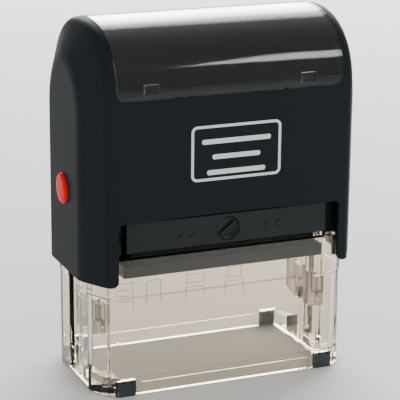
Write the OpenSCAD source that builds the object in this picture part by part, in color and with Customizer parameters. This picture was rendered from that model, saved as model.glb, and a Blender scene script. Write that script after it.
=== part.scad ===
// Self-inking stamp for a 50 x 30 mm imprint: a clear skirted base, a black cap that is
// pressed down over it, a die that flips from the ink pad to the paper, and an ink cartridge.
// Origin: centre of the footprint, on the surface that the stamp stands on. +Z up, +Y to the rear.

/* [Base] */
// Half width of the clear base, at its side faces
base_a = 35; // [33:0.5:37]
// Half depth of the clear base, at its front and rear faces
base_b = 18.3; // [18:0.1:19]
// Thickness of the clear walls
base_wall = 1.8; // [1.6:0.1:2]
// Height of the front and rear clear walls
skirt_h = 35.9; // [34:0.1:36.5]
// Height of the side walls inside the cap
side_h = 45.4; // [45:0.1:45.6]
// Height of the fine step round the walls
step_z = 26.2; // [20:0.1:30]
// Depth of the fine step
step_d = 0.2; // [0.1:0.05:0.3]
// Height of the thicker rim along the foot of the walls
rim_h = 5; // [4:0.5:6]

/* [Cap] */
// Half width of the cap at its flat side faces
cap_a = 37.2; // [37.2:0.1:38]
// Half depth of the cap
cap_b = 19.8; // [19.8:0.1:20.5]
// Height of the cap's lower edge at rest
cap_z = 29.7; // [29.5:0.1:30.3]
// Height of the crest
cap_top = 93.1; // [92:0.1:96]
// Height where the front wall starts to curve over
arch_z = 76; // [76:0.5:78]
// Fullness of the arch, where 2 is an ellipse
arch_n = 2.25; // [2:0.05:2.6]
// Height of the notch that shows the ink cartridge
notch_z = 45.6; // [45.5:0.1:47]
// Half width of that notch
notch_x = 29.8; // [29.8:0.1:30.2]
// Half width of the clear index window
window_x = 30; // [28:0.5:30]
// Height of the window's lower edge
window_z = 75.9; // [75.8:0.1:77]

/* [Mechanism] */
// Half width of the rubber die
die_x = 25; // [20:0.5:25]
// Half depth of the rubber die
die_y = 15; // [12:0.5:15]
// Height of the flip axle at rest
axle_z = 33; // [32.5:0.1:33.2]
// Radius of the axle pins
axle_r = 1.25; // [1.1:0.05:1.3]
// Height of the inking plane, the underside of the felt
pad_z = 37.4; // [37.2:0.1:37.6]
// Height of the top of the ink cartridge
cart_top = 44.9; // [44:0.1:45]
// Half width of the ink cartridge's end plate
cart_x = 27; // [26.6:0.1:27.2]
// Radius of the lock buttons
button_r = 4; // [3.5:0.1:4.2]
// Height of the lock buttons
button_z = 50.6; // [50.6:0.1:55]
// Travel of a lock button
button_travel = 1; // [0.8:0.1:1]

/* [Return spring] */
// Mean radius of the coils
spring_r = 5.2; // [5:0.1:6]
// Wire diameter
wire_d = 1.1; // [0.9:0.1:1.3]
// Number of turns
spring_turns = 8; // [6:1:9]

/* [Hidden] */

gap = 0.3;             // clearance between the parts that pass each other
snug = 0.1;            // clearance between the parts that lie in each other
ease = 0.05;           // clearance round a pin
cut = 1;               // how far a cutter passes the face that it cuts
tuck = 1;              // how far a body runs into the one that it joins
reach = 5;             // how far the largest cutters pass the cap
foot_out = 0.2;        // how far the rubber feet stand below the rim
tiny = 0.01;           // overlap that joins two bodies into one
round_fn = 48;         // chords of a full circle

// Plan of the base: flat side, wide corner facet, small front facet
base_plan = [[base_a, 10.85], [base_a - 3.05, base_b - 1.5], [base_a - 5.2, base_b]];
// Half depth of the cap's flat cheeks, and the width of the facet beside them
facet_in = 4.7;
crest_in = 7;          // where the full crest ends
crest_ease = 0.3;      // how far it has dropped at the facet
cheek_b = 11.15;
// The flat cheek ends in a lower arch, so a wide bevel runs over the top
cheek_z = 70;
cheek_top = 83.5;
// Inner plan of the cap, clear of the base all round
bore_plan = [[base_a + gap, 11.7], [31.3, base_b + gap]];

// Side channels of the base, in which the ribs of the cap run
channel_y = 3.6;
channel_x = base_a - 2;
channel_z = 1.6;
bulge_y = 5.4;
bulge_x = channel_x - base_wall;
slot_y = axle_r + gap;
slot_z = 4.2;          // centre of the round end of each axle slot
wall_cut = 2.5;        // half width of the cut that lowers the front and rear walls

// Imprint opening inside the rim, and the low flange at each side of it
open_x = 28.6;
open_y = 16.1;
flange_in = 1;
flange_y = 10;
flange_h = 1.2;

// Shallow panel in the rim, front and rear
panel_x = 23;
panel_z = 3.5;
panel_d = 0.5;

// Feet
foot_x0 = 24.8;
foot_x1 = 29.6;
foot_h = 4.3;
foot_y0 = 16.2;
foot_groove = 0.8;     // width of the two grooves in its top, which are as deep

// Die stack, measured up from the inking plane when the stamp is at rest
ink_gap = 0.15;
face_z = pad_z - ink_gap;
rubber_t = 2.3;
relief_t = 0.9;
bar_count = 8;         // raised bars of the relief
bar_pitch = 3.5;
bar_half = 0.8;
long_half = 22;
short_half = 17;
border_x = 24.5;
border_y = 14.6;
border_half = 0.3;
cushion_t = 1.5;
carrier_top = face_z - rubber_t - cushion_t;
carrier_z = 30.4;
carrier_x = 27.1;
carrier_y = 15.2;
boss_r = 2.3;
boss_out = 0.8;        // how far the bosses stand out of the carrier's ends
flip_pin_r = 1;
flip_pin_y = 6;
flip_pin_out = 1;
flip_pin_drop = 1;     // how far they sit below the axle
pocket_pitch = 10;     // weight-saving pockets in its back
pocket_half = 3.8;
pocket_in = 2;
pocket_d = 1.2;
pin_x0 = die_x + gap;  // the axle pins start beside the cushion
pin_end = cap_a - 1;

// Flip guides, half way down the stroke
guide_x0 = 28.9;
guide_y = 9;
guide_z0 = 12.5;
guide_z1 = 22;
guide_cut = 5;         // width of the sloped lower corner
guide_rise = 1.5;      // and its height
guide_boss_r = 1.6;
guide_boss_out = 0.2;  // how far it stands off the plate
guide_boss_in = 0.2;   // its place from the end of the sloped corner
guide_boss_rise = 0.9;
hook_z = 18;
hook_gap = 0.2;

// Ink cartridge
felt_x = 25.6;
felt_y = 16;
felt_t = 5;
tray_y = 17.7;
dish_z = 41.1;         // centre of the thumb dish in the end plate
dish_d = 0.9;
dish_floor_r = 1.9;
dish_cone_r = 6;
dish_cone_h = 3;
arrow_x = 9;           // tip of the first arrowhead beside it
arrow_pitch = 3.2;
arrow_d = 0.22;
arrowhead = [[0, 0], [1.3, 1.1], [2, 1.1], [0.7, 0], [2, -1.1], [1.3, -1.1]];
flange_z = 40.3;
flange_t = 1.5;
flange_x = 28.2;
flange_half = 14.5;    // half length of the flanges
rail_y = 15.4;
rail_z = 36.2;
groove_gap = 0.15;     // clearance over and under the flange
rail_gap = 0.4;        // clearance beside the tray

// Spring seats
bridge_y = 7;
bridge_z = side_h;
bridge_t = 2;
spring_z0 = bridge_z + bridge_t;
spring_z1 = 88.4;
spigot_r = 4.3;
spigot_h = 4.5;
bridge_rib = 1.2;      // width and height of the stiffening ribs
bridge_rib_in = 1;

// Cap details
shell_in = 3.3;        // depth of the shell's inner face under the arch
hollow_rise = 20;      // height over the cap's edge where the arched hollow starts
cheek_wall = 2;
seat_h = 6;            // length of the upper spigot
seat_flange_h = 1.8;
seat_flange_out = 2;
recess = 1.6;          // depth of the recess for the window
window_t = 1.15;
window_r = 2.4;        // corners of the window, front and rear
card_t = 0.25;
card_r = 1;
card_in = 0.8;         // how far the card stays inside the window's sides
card_rise = 0.7;       // and over its lower edge
card_gap = 0.4;        // clearance round the lugs
corner_steps = 6;      // chords of a rounded corner
rib_y = 3.2;
rib_x = channel_x + gap;
rib_z = cap_z + 0.9;
rib_top = 72;
bore_top = 74.4;
lug_x = 20.8;
lug_w = 3.8;
lug_h = 2.2;
lug_z = 78.2;
lug_in = 0.9;          // where the lugs start, inside the front face
scoop_half = 20;
scoop_d = 0.8;
scoop_slope = 1.9;     // how far the sloping face runs in over that depth
scoop_top = 48.3;
scoop_fn = 180;
button_seat = cap_a - 1.3;
dome = 0.9;            // rise of a button's dome
dome_steps = 8;

// --- shared outlines -------------------------------------------------------------------

// One quarter of a plan, mirrored to all four corners, anticlockwise
function plan(q) = concat(
    [for (p = q) p],
    [for (i = [len(q) - 1:-1:0]) [-q[i].x, q[i].y]],
    [for (p = q) [-p.x, -p.y]],
    [for (i = [len(q) - 1:-1:0]) [q[i].x, -q[i].y]]);

// The corner of a convex outline moved inwards by t, square to both of its edges
function edge_normal(a, b) = let (d = (b - a) / norm(b - a)) [d.y, -d.x];
function inset(pts, t) = [for (i = [0:len(pts) - 1])
    let (n = len(pts),
        n1 = edge_normal(pts[(i + n - 1) % n], pts[i]),
        n2 = edge_normal(pts[i], pts[(i + 1) % n]))
    pts[i] - t * (n1 + n2) / (1 + n1 * n2)];

function spow(v, e) = sign(v) * pow(abs(v), e);

// Side outline with straight walls from z0 up to spring height zs, under an arch of half depth b
arch_steps = 28;
function arch(b, zs, top, n, z0) = concat(
    [[-b, z0], [b, z0]],
    [for (k = [0:arch_steps]) let (u = 180 * k / arch_steps)
        [b * spow(cos(u), 2 / n), zs + (top - zs) * spow(sin(u), 2 / n)]]);

module along_x(x) rotate([90, 0, 90]) linear_extrude(height = 2 * x, center = true) children();

// The main arch, t inside the surface, extruded along X between -x and x
module arch_slab(x, t, z0) along_x(x) polygon(arch(cap_b - t, arch_z, cap_top - t, arch_n, z0));

// The lower arch of the flat cheeks, t inside it
module cheek_slab(x, t, z0) along_x(x) polygon(arch(cheek_b - t, cheek_z, cheek_top - t, 2, z0));

module bar(x0, x1, y0, y1, z0, z1) {
    translate([x0, y0, z0]) cube([x1 - x0, y1 - y0, z1 - z0]);
}

// A bar mirrored to both sides in X
module bar_pair(x0, x1, y0, y1, z0, z1) {
    for (s = [0, 1]) mirror([s, 0, 0]) bar(x0, x1, y0, y1, z0, z1);
}

// A cylinder along X from x0 to x1
module rod_x(r, x0, x1, y, z) {
    translate([x0, y, z]) rotate([0, 90, 0]) cylinder(h = x1 - x0, r = r, $fn = round_fn);
}

// --- base ------------------------------------------------------------------------------

module base_skin() {
    outer = plan(base_plan);
    translate([0, 0, foot_out]) linear_extrude(height = step_z - foot_out) polygon(inset(outer, step_d));
    translate([0, 0, step_z]) linear_extrude(height = side_h - step_z) polygon(outer);
}

module base_frame() color([0.85, 0.79, 0.75, 0.4]) difference() {
    union() {
        difference() {
            base_skin();
            translate([0, 0, rim_h]) linear_extrude(height = side_h)
                polygon(inset(plan(base_plan), base_wall));
            // Imprint opening, then the low flange at each side of it
            bar(-open_x, open_x, -open_y, open_y, -cut, rim_h + cut);
            bar_pair(open_x - flange_in, base_a - base_wall, -flange_y, flange_y,
                foot_out + flange_h, rim_h + cut);
        }
        // Inner bulge that carries the floor of each side channel
        bar_pair(bulge_x, channel_x + tuck, -bulge_y, bulge_y, foot_out, side_h);
    }
    // Side channels, open at the top, and the axle slots through their floors
    bar_pair(channel_x, base_a + cut, -channel_y, channel_y, channel_z, side_h + cut);
    for (s = [0, 1]) mirror([s, 0, 0]) {
        bar(bulge_x - cut, channel_x + cut, -slot_y, slot_y, slot_z, side_h + cut);
        rod_x(slot_y, bulge_x - cut, channel_x + cut, 0, slot_z);
    }
    // The ink cartridge passes over the front and rear walls
    bar(-notch_x, notch_x, -base_b - cut, base_b + cut, side_h, side_h + cut);
    for (s = [-1, 1])
        bar(-notch_x, notch_x, s * base_b - wall_cut, s * base_b + wall_cut, skirt_h, side_h + cut);
    // Long shallow panel in the rim, front and rear
    for (s = [-1, 1])
        bar(-panel_x, panel_x, s * base_b - panel_d, s * base_b + panel_d, -cut, panel_z);
    // Pockets for the feet
    for (sx = [0, 1], sy = [0, 1]) mirror([sx, 0, 0]) mirror([0, sy, 0])
        bar(foot_x0, foot_x1, foot_y0, base_b + cut, -cut, foot_h);
}

// One rubber foot in the front right pocket, with two grooves that let it squash into its pocket
module foot() color("#33393b") {
    difference() {
        bar(foot_x0, foot_x1, -base_b + step_d, -foot_y0, 0, foot_h);
        for (x = [foot_x0 + foot_groove, foot_x1 - 2 * foot_groove])
            bar(x, x + foot_groove, -base_b, -foot_y0 + cut, foot_h - foot_groove, foot_h + cut);
    }
}

module foot_front_right() foot();
module foot_front_left() mirror([1, 0, 0]) foot();
module foot_rear_right() mirror([0, 1, 0]) foot();
module foot_rear_left() mirror([1, 0, 0]) mirror([0, 1, 0]) foot();

// Front right cam plate: it stands on the side wall next to the axle slot, and its hook
// turns the die half way down
module flip_guide() color([0.78, 0.74, 0.72, 0.6]) difference() {
    union() {
        translate([guide_x0, 0, 0]) rotate([90, 0, 90]) linear_extrude(height = bulge_x - guide_x0)
            polygon([[-guide_y, guide_z0 + guide_rise], [-guide_y + guide_cut, guide_z0], [-slot_y, guide_z0],
                [-slot_y, guide_z1], [-guide_y, guide_z1]]);
        // Round boss on its face
        rod_x(guide_boss_r, guide_x0 - guide_boss_out, bulge_x,
            -guide_y + guide_cut + guide_boss_in, guide_z0 + guide_rise + guide_boss_rise);
    }
    // Hook for the flip pin
    hook = flip_pin_r + hook_gap;
    rod_x(hook, guide_x0 - cut, bulge_x + cut, -flip_pin_y, hook_z);
    bar(guide_x0 - cut, bulge_x + cut, -flip_pin_y - hook, -flip_pin_y + hook, hook_z, guide_z1 + cut);
}

module flip_guide_front_right() flip_guide();
module flip_guide_front_left() mirror([1, 0, 0]) flip_guide();
module flip_guide_rear_right() mirror([0, 1, 0]) flip_guide();
module flip_guide_rear_left() mirror([1, 0, 0]) mirror([0, 1, 0]) flip_guide();

// Right rail: a C section that holds the cartridge's flange and carries the spring bridge
module cartridge_rail() color("#181b1c") difference() {
    intersection() {
        bar(cart_x + rail_gap, base_a, -rail_y, rail_y, rail_z, side_h);
        translate([0, 0, rail_z]) linear_extrude(height = side_h) polygon(inset(plan(base_plan), base_wall));
    }
    bar(cart_x, flange_x + gap, -rail_y - cut, rail_y + cut,
        flange_z - groove_gap, flange_z + flange_t + groove_gap);
    bar(cart_x, flange_x + gap, -rail_y - cut, rail_y + cut, cart_top - cut, side_h + cut);
    bar(bulge_x, base_a, -bulge_y, bulge_y, rail_z - cut, side_h + cut);
}

module cartridge_rail_right() cartridge_rail();
module cartridge_rail_left() mirror([1, 0, 0]) cartridge_rail();

// --- ink cartridge ---------------------------------------------------------------------

module ink_tray() color("#1f2426") difference() {
    union() {
        bar(-cart_x, cart_x, -tray_y, tray_y, pad_z, cart_top);
        bar_pair(cart_x - tuck, flange_x, -flange_half, flange_half, flange_z, flange_z + flange_t);
    }
    bar(-felt_x - snug, felt_x + snug, -felt_y - snug, felt_y + snug, pad_z - cut, pad_z + felt_t);
    // Round thumb dish in the front plate
    translate([0, -tray_y + dish_d, dish_z]) rotate([90, 0, 0])
        cylinder(h = dish_cone_h, r1 = dish_floor_r, r2 = dish_cone_r, $fn = round_fn);
    // Two arrowheads at each side point at the dish
    for (s = [0, 1], k = [0, 1]) mirror([s, 0, 0])
        translate([arrow_x + arrow_pitch * k, -tray_y + arrow_d, dish_z]) rotate([90, 0, 0])
            linear_extrude(height = cut) polygon(arrowhead);
}

module ink_felt() color("#26262b")
    bar(-felt_x, felt_x, -felt_y, felt_y, pad_z, pad_z + felt_t);

// --- spring and its lower seat ---------------------------------------------------------

module spring_bridge() color("#202426") {
    bar(-channel_x, channel_x, -bridge_y, bridge_y, bridge_z, bridge_z + bridge_t);
    // Stiffening ribs and the spigot inside the spring
    for (y = [-bridge_y, bridge_y - bridge_rib])
        bar(-channel_x + bridge_rib_in, channel_x - bridge_rib_in, y, y + bridge_rib,
            spring_z0 - tiny, spring_z0 + bridge_rib);
    translate([0, 0, spring_z0 - tiny]) cylinder(h = spigot_h, r = spigot_r, $fn = round_fn);
}

// Round wire swept along a helix whose end turns lie closer together
ring_sides = 8;
ring_steps = 20;
spring_rings = spring_turns * ring_steps;
even_share = 0.35;     // share of the pitch that is even, the rest eases in and out
function coil_height(i) = let (u = i / spring_rings, f = 0.5 - 0.5 * cos(180 * u))
    spring_z0 + wire_d / 2 + (spring_z1 - spring_z0 - wire_d) * (even_share * u + (1 - even_share) * f);
function coil_point(i, k) = let (a = 360 * i / ring_steps, b = 360 * k / ring_sides,
        r = spring_r + wire_d / 2 * cos(b))
    [r * cos(a), r * sin(a), coil_height(i) + wire_d / 2 * sin(b)];

module return_spring() color("#9aa0a3")
    polyhedron(
        points = [for (i = [0:spring_rings], k = [0:ring_sides - 1]) coil_point(i, k)],
        faces = concat(
            [[for (k = [0:ring_sides - 1]) k]],
            [[for (k = [ring_sides - 1:-1:0]) spring_rings * ring_sides + k]],
            [for (i = [0:spring_rings - 1], k = [0:ring_sides - 1])
                let (n = (k + 1) % ring_sides, p = i * ring_sides, q = p + ring_sides)
                [p + k, q + k, q + n, p + n]]));

// --- cap -------------------------------------------------------------------------------

module cap_solid() hull() {
    arch_slab(cap_a - crest_in, 0, cap_z);
    arch_slab(cap_a - facet_in, crest_ease, cap_z);
    cheek_slab(cap_a, 0, cap_z);
}

module cap_hollow() {
    translate([0, 0, cap_z - cut]) linear_extrude(height = bore_top - cap_z + cut) polygon(plan(bore_plan));
    hull() {
        arch_slab(bore_plan[1].x, shell_in, cap_z + hollow_rise);
        cheek_slab(bore_plan[0].x, cheek_wall, cap_z + hollow_rise);
    }
}

// Front view of a sheet over the top: it starts at z0, with two lower corners of radius r
function sheet_front(x, z0, r) = concat(
    [for (k = [0:corner_steps]) let (a = 180 + 90 * k / corner_steps)
        [r - x + r * cos(a), z0 + r + r * sin(a)]],
    [for (k = [0:corner_steps]) let (a = 270 + 90 * k / corner_steps)
        [x - r + r * cos(a), z0 + r + r * sin(a)]],
    [[x, cap_top + reach], [-x, cap_top + reach]]);

// Space between two depths under the arch, above z0 and between -x and x, with corners of radius r
module arch_layer(x, t0, t1, z0, r) intersection() {
    difference() {
        arch_slab(x + cut, t0, cap_z);
        arch_slab(x + 2 * cut, t1, cap_z - cut);
    }
    translate([0, cap_b + reach, 0]) rotate([90, 0, 0])
        linear_extrude(height = 2 * (cap_b + reach)) polygon(sheet_front(x, z0, r));
}

module cap_shell() color("#1b1f21") {
    difference() {
        cap_solid();
        cap_hollow();
        // Recess of the index window, over the top from front to rear
        arch_layer(window_x + snug, -3 * cut, recess, window_z - snug, window_r + snug);
        // Notches for the ink cartridge, front and rear
        bar(-notch_x, notch_x, -cap_b - cut, cap_b + cut, cap_z - cut, notch_z);
        // Thumb scoop over the notch, front and rear
        for (s = [0, 1]) mirror([0, s, 0]) scoop();
        // Slots for the window's lugs
        for (s = [-1, 1]) bar(s * lug_x - lug_w / 2 - snug, s * lug_x + lug_w / 2 + snug, -cap_b, cap_b,
            lug_z - lug_h / 2 - snug, lug_z + lug_h / 2 + snug);
        for (s = [0, 1]) mirror([s, 0, 0]) {
            rod_x(button_r + snug, button_seat, cap_a + cut, 0, button_z);
            rod_x(axle_r + ease, rib_x - cut, pin_end + snug, 0, axle_z);
            rod_x(axle_r + ease, rib_x - cut, cap_a, 0, button_z);
        }
    }
    for (s = [0, 1]) mirror([s, 0, 0]) difference() {
        bar(rib_x, base_a + gap + tiny, -rib_y, rib_y, rib_z, rib_top);
        rod_x(axle_r + ease, rib_x - cut, cap_a, 0, axle_z);
        rod_x(axle_r + ease, rib_x - cut, cap_a, 0, button_z);
    }
    // Upper seat of the spring, with its spigot
    translate([0, 0, spring_z1]) cylinder(h = seat_flange_h, r = spring_r + seat_flange_out, $fn = round_fn);
    translate([0, 0, spring_z1 - seat_h]) cylinder(h = seat_h + tiny, r = spigot_r, $fn = round_fn);
}

// A shallow cone sunk into the front wall: its sloping face narrows to nothing at the top
module scoop() {
    sagitta = scoop_top - notch_z;
    r = (scoop_half * scoop_half + sagitta * sagitta) / (2 * sagitta);
    intersection() {
        translate([0, -cap_b + scoop_d, scoop_top - r]) rotate([90, 0, 0])
            cylinder(h = scoop_d + tiny, r1 = r - scoop_slope, r2 = r, $fn = scoop_fn);
        bar(-scoop_half, scoop_half, -cap_b - cut, -cap_b + scoop_d + cut, notch_z - cut, scoop_top + cut);
    }
}

module index_window() color([0.92, 0.95, 0.97, 0.25]) {
    arch_layer(window_x, 0, window_t, window_z, window_r);
    // Lugs that clip through the shell
    for (sx = [-1, 1], sy = [0, 1]) mirror([0, sy, 0])
        bar(sx * lug_x - lug_w / 2, sx * lug_x + lug_w / 2, -cap_b + lug_in, -cap_b + shell_in,
            lug_z - lug_h / 2, lug_z + lug_h / 2);
}

module index_card() color("#17191a") difference() {
    arch_layer(window_x - card_in, window_t + snug, window_t + snug + card_t, window_z + card_rise, card_r);
    // Cut-outs round the lugs
    for (s = [-1, 1]) bar(s * lug_x - lug_w / 2 - card_gap, s * lug_x + lug_w / 2 + card_gap,
        -cap_b - cut, cap_b + cut, window_z, lug_z + lug_h / 2 + card_gap);
}

// A domed button on the right side, with the stem that locks into the base
module lock_button() color("#e0141c") translate([0, 0, button_z]) rotate([0, 90, 0])
    rotate_extrude($fn = round_fn) polygon(concat(
        [[0, rib_x + ease], [axle_r, rib_x + ease], [axle_r, button_seat + button_travel],
            [button_r, button_seat + button_travel]],
        [for (k = [0:dome_steps]) let (u = 90 * k / dome_steps)
            [button_r * cos(u), cap_a + snug + dome * sin(u)]]));

module lock_button_right() lock_button();
module lock_button_left() mirror([1, 0, 0]) lock_button();

// --- die -------------------------------------------------------------------------------

module die_carrier() color("#1d2123") difference() {
    union() {
        bar(-carrier_x, carrier_x, -carrier_y, carrier_y, carrier_z, carrier_top);
        // End bosses round the axle pins
        for (s = [0, 1]) mirror([s, 0, 0]) {
            rod_x(boss_r, pin_x0 + gap, carrier_x + boss_out, 0, axle_z);
            for (y = [-flip_pin_y, flip_pin_y])
                rod_x(flip_pin_r, carrier_x - tuck, carrier_x + flip_pin_out, y, axle_z - flip_pin_drop);
        }
    }
    // Blind bores for the axle pins
    for (s = [0, 1]) mirror([s, 0, 0]) rod_x(axle_r, pin_x0, cap_a, 0, axle_z);
    // Weight-saving pockets in the back
    for (k = [-2:2]) bar(pocket_pitch * k - pocket_half, pocket_pitch * k + pocket_half,
        -carrier_y + pocket_in, carrier_y - pocket_in, carrier_z - cut, carrier_z + pocket_d);
}

module axle_pin() color("#b9bdbf") rod_x(axle_r, pin_x0, pin_end, 0, axle_z);
module axle_pin_right() axle_pin();
module axle_pin_left() mirror([1, 0, 0]) axle_pin();

module die_cushion() color("#2e3435")
    bar(-die_x, die_x, -die_y, die_y, carrier_top, carrier_top + cushion_t);

// Rubber plate with plain raised bars in place of a text
module rubber_die() color("#232627") {
    bar(-die_x, die_x, -die_y, die_y, carrier_top + cushion_t, face_z - relief_t);
    for (k = [0:bar_count - 1]) {
        half = (k % 2 == 0 ? long_half : short_half);
        y = bar_pitch * (k - (bar_count - 1) / 2);
        bar(-half, half, y - bar_half, y + bar_half, face_z - relief_t - tiny, face_z);
    }
    for (s = [-1, 1]) bar(-border_x, border_x, s * border_y - border_half, s * border_y + border_half,
        face_z - relief_t - tiny, face_z);
}

base_frame();
foot_front_left();
foot_front_right();
foot_rear_left();
foot_rear_right();
flip_guide_front_left();
flip_guide_front_right();
flip_guide_rear_left();
flip_guide_rear_right();
cartridge_rail_left();
cartridge_rail_right();
ink_tray();
ink_felt();
spring_bridge();
return_spring();
cap_shell();
index_window();
index_card();
lock_button_left();
lock_button_right();
die_carrier();
axle_pin_left();
axle_pin_right();
die_cushion();
rubber_die();
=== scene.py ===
"""Looks of a self-inking stamp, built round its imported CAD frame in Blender."""

import logging
import math
from dataclasses import dataclass, field
from enum import Enum

import bmesh
import bpy
from mathutils import Matrix, Vector


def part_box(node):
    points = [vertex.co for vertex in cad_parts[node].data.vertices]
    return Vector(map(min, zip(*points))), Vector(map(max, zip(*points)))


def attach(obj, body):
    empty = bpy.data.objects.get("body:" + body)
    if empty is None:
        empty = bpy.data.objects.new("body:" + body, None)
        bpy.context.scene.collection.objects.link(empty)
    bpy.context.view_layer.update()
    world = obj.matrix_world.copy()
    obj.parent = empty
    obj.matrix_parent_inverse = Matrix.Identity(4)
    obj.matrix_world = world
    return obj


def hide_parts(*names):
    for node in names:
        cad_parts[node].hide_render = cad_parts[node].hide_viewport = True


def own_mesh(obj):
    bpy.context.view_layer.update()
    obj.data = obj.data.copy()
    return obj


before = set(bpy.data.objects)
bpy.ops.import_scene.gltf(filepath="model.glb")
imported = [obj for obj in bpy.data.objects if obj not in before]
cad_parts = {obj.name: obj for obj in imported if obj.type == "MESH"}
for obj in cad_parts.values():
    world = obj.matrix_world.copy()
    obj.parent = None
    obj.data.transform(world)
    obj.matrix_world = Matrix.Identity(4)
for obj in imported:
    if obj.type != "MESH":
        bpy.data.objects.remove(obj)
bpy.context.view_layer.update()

logging.basicConfig(level=logging.INFO, format="%(message)s")
LOG = logging.getLogger("stamp")

MM = 0.001
Point2 = tuple[float, float]
Point3 = tuple[float, float, float]


class Axis(Enum):
    """The row axis that a prism runs along, with its place in a point."""

    X = 0
    Y = 1
    Z = 2


# --- materials -------------------------------------------------------------------------


def linear(hex_colour: str) -> tuple[float, float, float, float]:
    """Turns an sRGB hex colour into linear RGBA.

    Args:
        hex_colour: Six hex digits after a hash.
    Returns:
        The linear red, green, blue and an alpha of 1.
    """
    parts = [int(hex_colour[i : i + 2], 16) / 255 for i in (1, 3, 5)]
    return (*(p / 12.92 if p <= 0.04045 else ((p + 0.055) / 1.055) ** 2.4 for p in parts), 1.0)


def add_node(
    tree: bpy.types.NodeTree,
    kind: str,
    values: dict | None = None,
    links: dict | None = None,
    **settings: object,
) -> bpy.types.Node:
    """Adds one shader node.

    Args:
        tree: The material's node tree.
        kind: The node's type after "ShaderNode".
        values: Input values by socket name.
        links: Output sockets to link, by the name of the input they feed.
        settings: The node's own properties.
    Returns:
        The new node.
    """
    node = tree.nodes.new("ShaderNode" + kind)
    for name, value in settings.items():
        setattr(node, name, value)
    for name, value in (values or {}).items():
        node.inputs[name].default_value = value
    for name, source in (links or {}).items():
        tree.links.new(source, node.inputs[name])
    return node


@dataclass(frozen=True)
class Finish:
    """A surface: one real material and the way its face was made."""

    name: str
    colour: str
    shade: str
    roughness: float
    roughness_spread: float = 0.06
    grain_mm: float = 0.4
    grain_depth_mm: float = 0.01
    mottle_mm: float = 9.0
    metallic: float = 0.0
    ior: float = 1.5
    specular: float = 0.5
    transmission: float = 0.0
    sheen: float = 0.0
    stretch: Point3 = (1.0, 1.0, 1.0)

    def coordinates(self, tree: bpy.types.NodeTree) -> bpy.types.NodeSocket:
        """Stretches the piece's own coordinates along the way the surface was worked.

        Args:
            tree: The material's node tree.
        Returns:
            The coordinates.
        """
        place = add_node(tree, "TexCoord")
        source = {"Vector": place.outputs["Object"]}
        return add_node(tree, "Mapping", {"Scale": self.stretch}, source).outputs[0]

    def noise(self, tree: bpy.types.NodeTree, size_mm: float, detail: float) -> bpy.types.NodeSocket:
        """Makes a noise pattern.

        Args:
            tree: The material's node tree.
            size_mm: The real size of one patch or grain.
            detail: How many finer octaves it has.
        Returns:
            The pattern from 0 to 1.
        """
        values = {"Scale": 1 / (size_mm * MM), "Detail": detail, "Roughness": 0.55}
        return add_node(tree, "TexNoise", values, {"Vector": self.coordinates(tree)}).outputs["Fac"]

    def height(self, tree: bpy.types.NodeTree) -> bpy.types.NodeSocket:
        """Returns the relief of the surface, from 0 to 1."""
        return self.noise(tree, self.grain_mm, 2.0)

    def make(self) -> bpy.types.Material:
        """Builds the material: slightly varied colour, roughness that varies with it, and fine relief.

        Returns:
            The material, which is made once and shared.
        """
        found = bpy.data.materials.get(self.name)
        if found:
            return found
        material = bpy.data.materials.new(self.name)
        material.use_nodes = True
        tree = material.node_tree
        shader = tree.nodes["Principled BSDF"]
        mottle = self.noise(tree, self.mottle_mm, 3.0)
        colour = add_node(tree, "Mix", data_type="RGBA")
        colour.inputs[6].default_value = linear(self.colour)
        colour.inputs[7].default_value = linear(self.shade)
        tree.links.new(mottle, colour.inputs[0])
        tree.links.new(colour.outputs[2], shader.inputs["Base Color"])
        low = max(0.0, self.roughness - self.roughness_spread)
        high = self.roughness + self.roughness_spread
        spread = add_node(tree, "MapRange", {"To Min": low, "To Max": high}, {"Value": mottle})
        tree.links.new(spread.outputs[0], shader.inputs["Roughness"])
        if self.grain_depth_mm:
            values = {"Strength": 1.0, "Distance": self.grain_depth_mm * MM}
            bump = add_node(tree, "Bump", values, {"Height": self.height(tree)})
            tree.links.new(bump.outputs[0], shader.inputs["Normal"])
        for socket, value in {
            "Metallic": self.metallic,
            "IOR": self.ior,
            "Specular IOR Level": self.specular,
            "Transmission Weight": self.transmission,
            "Sheen Weight": self.sheen,
            "Sheen Roughness": 0.5,
        }.items():
            shader.inputs[socket].default_value = value
        return material


@dataclass(frozen=True)
class FeltFinish(Finish):
    """Needled felt: short fibres lie across each other, so the face is dull and slightly streaky."""

    def height(self, tree: bpy.types.NodeTree) -> bpy.types.NodeSocket:
        """Lays two layers of stretched fibres across each other.

        Args:
            tree: The material's node tree.
        Returns:
            The relief, from 0 to 1.
        """
        layers = []
        for scale in ((1.0, 6.0, 1.0), (6.0, 1.0, 1.0)):
            place = add_node(tree, "TexCoord")
            turned = add_node(tree, "Mapping", {"Scale": scale}, {"Vector": place.outputs["Object"]})
            values = {"Scale": 1 / (self.grain_mm * MM), "Detail": 3.0}
            layers.append(add_node(tree, "TexNoise", values, {"Vector": turned.outputs[0]}).outputs["Fac"])
        return add_node(tree, "Math", None, {0: layers[0], 1: layers[1]}, operation="MAXIMUM").outputs[0]


@dataclass(frozen=True)
class CellFinish(Finish):
    """Closed-cell foam: round cells cut open at the face give it small pits."""

    def height(self, tree: bpy.types.NodeTree) -> bpy.types.NodeSocket:
        """Returns round pits one cell wide."""
        values = {"Scale": 1 / (self.grain_mm * MM)}
        return add_node(tree, "TexVoronoi", values, {"Vector": self.coordinates(tree)}).outputs["Distance"]


# ABS moulded in a spark-eroded cavity: near black, with a fine even grain that spreads highlights.
CAP_ABS = Finish(
    "abs_black_grained", "#22272A", "#25292B", 0.5, 0.03, grain_mm=0.22, grain_depth_mm=0.004, specular=0.04
)
# ABS from a smoother cavity: the same black with a soft satin sheen.
SATIN_ABS = Finish(
    "abs_black_satin", "#171D1E", "#1C2324", 0.34, 0.04, grain_mm=0.3, grain_depth_mm=0.002, specular=0.25
)
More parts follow.
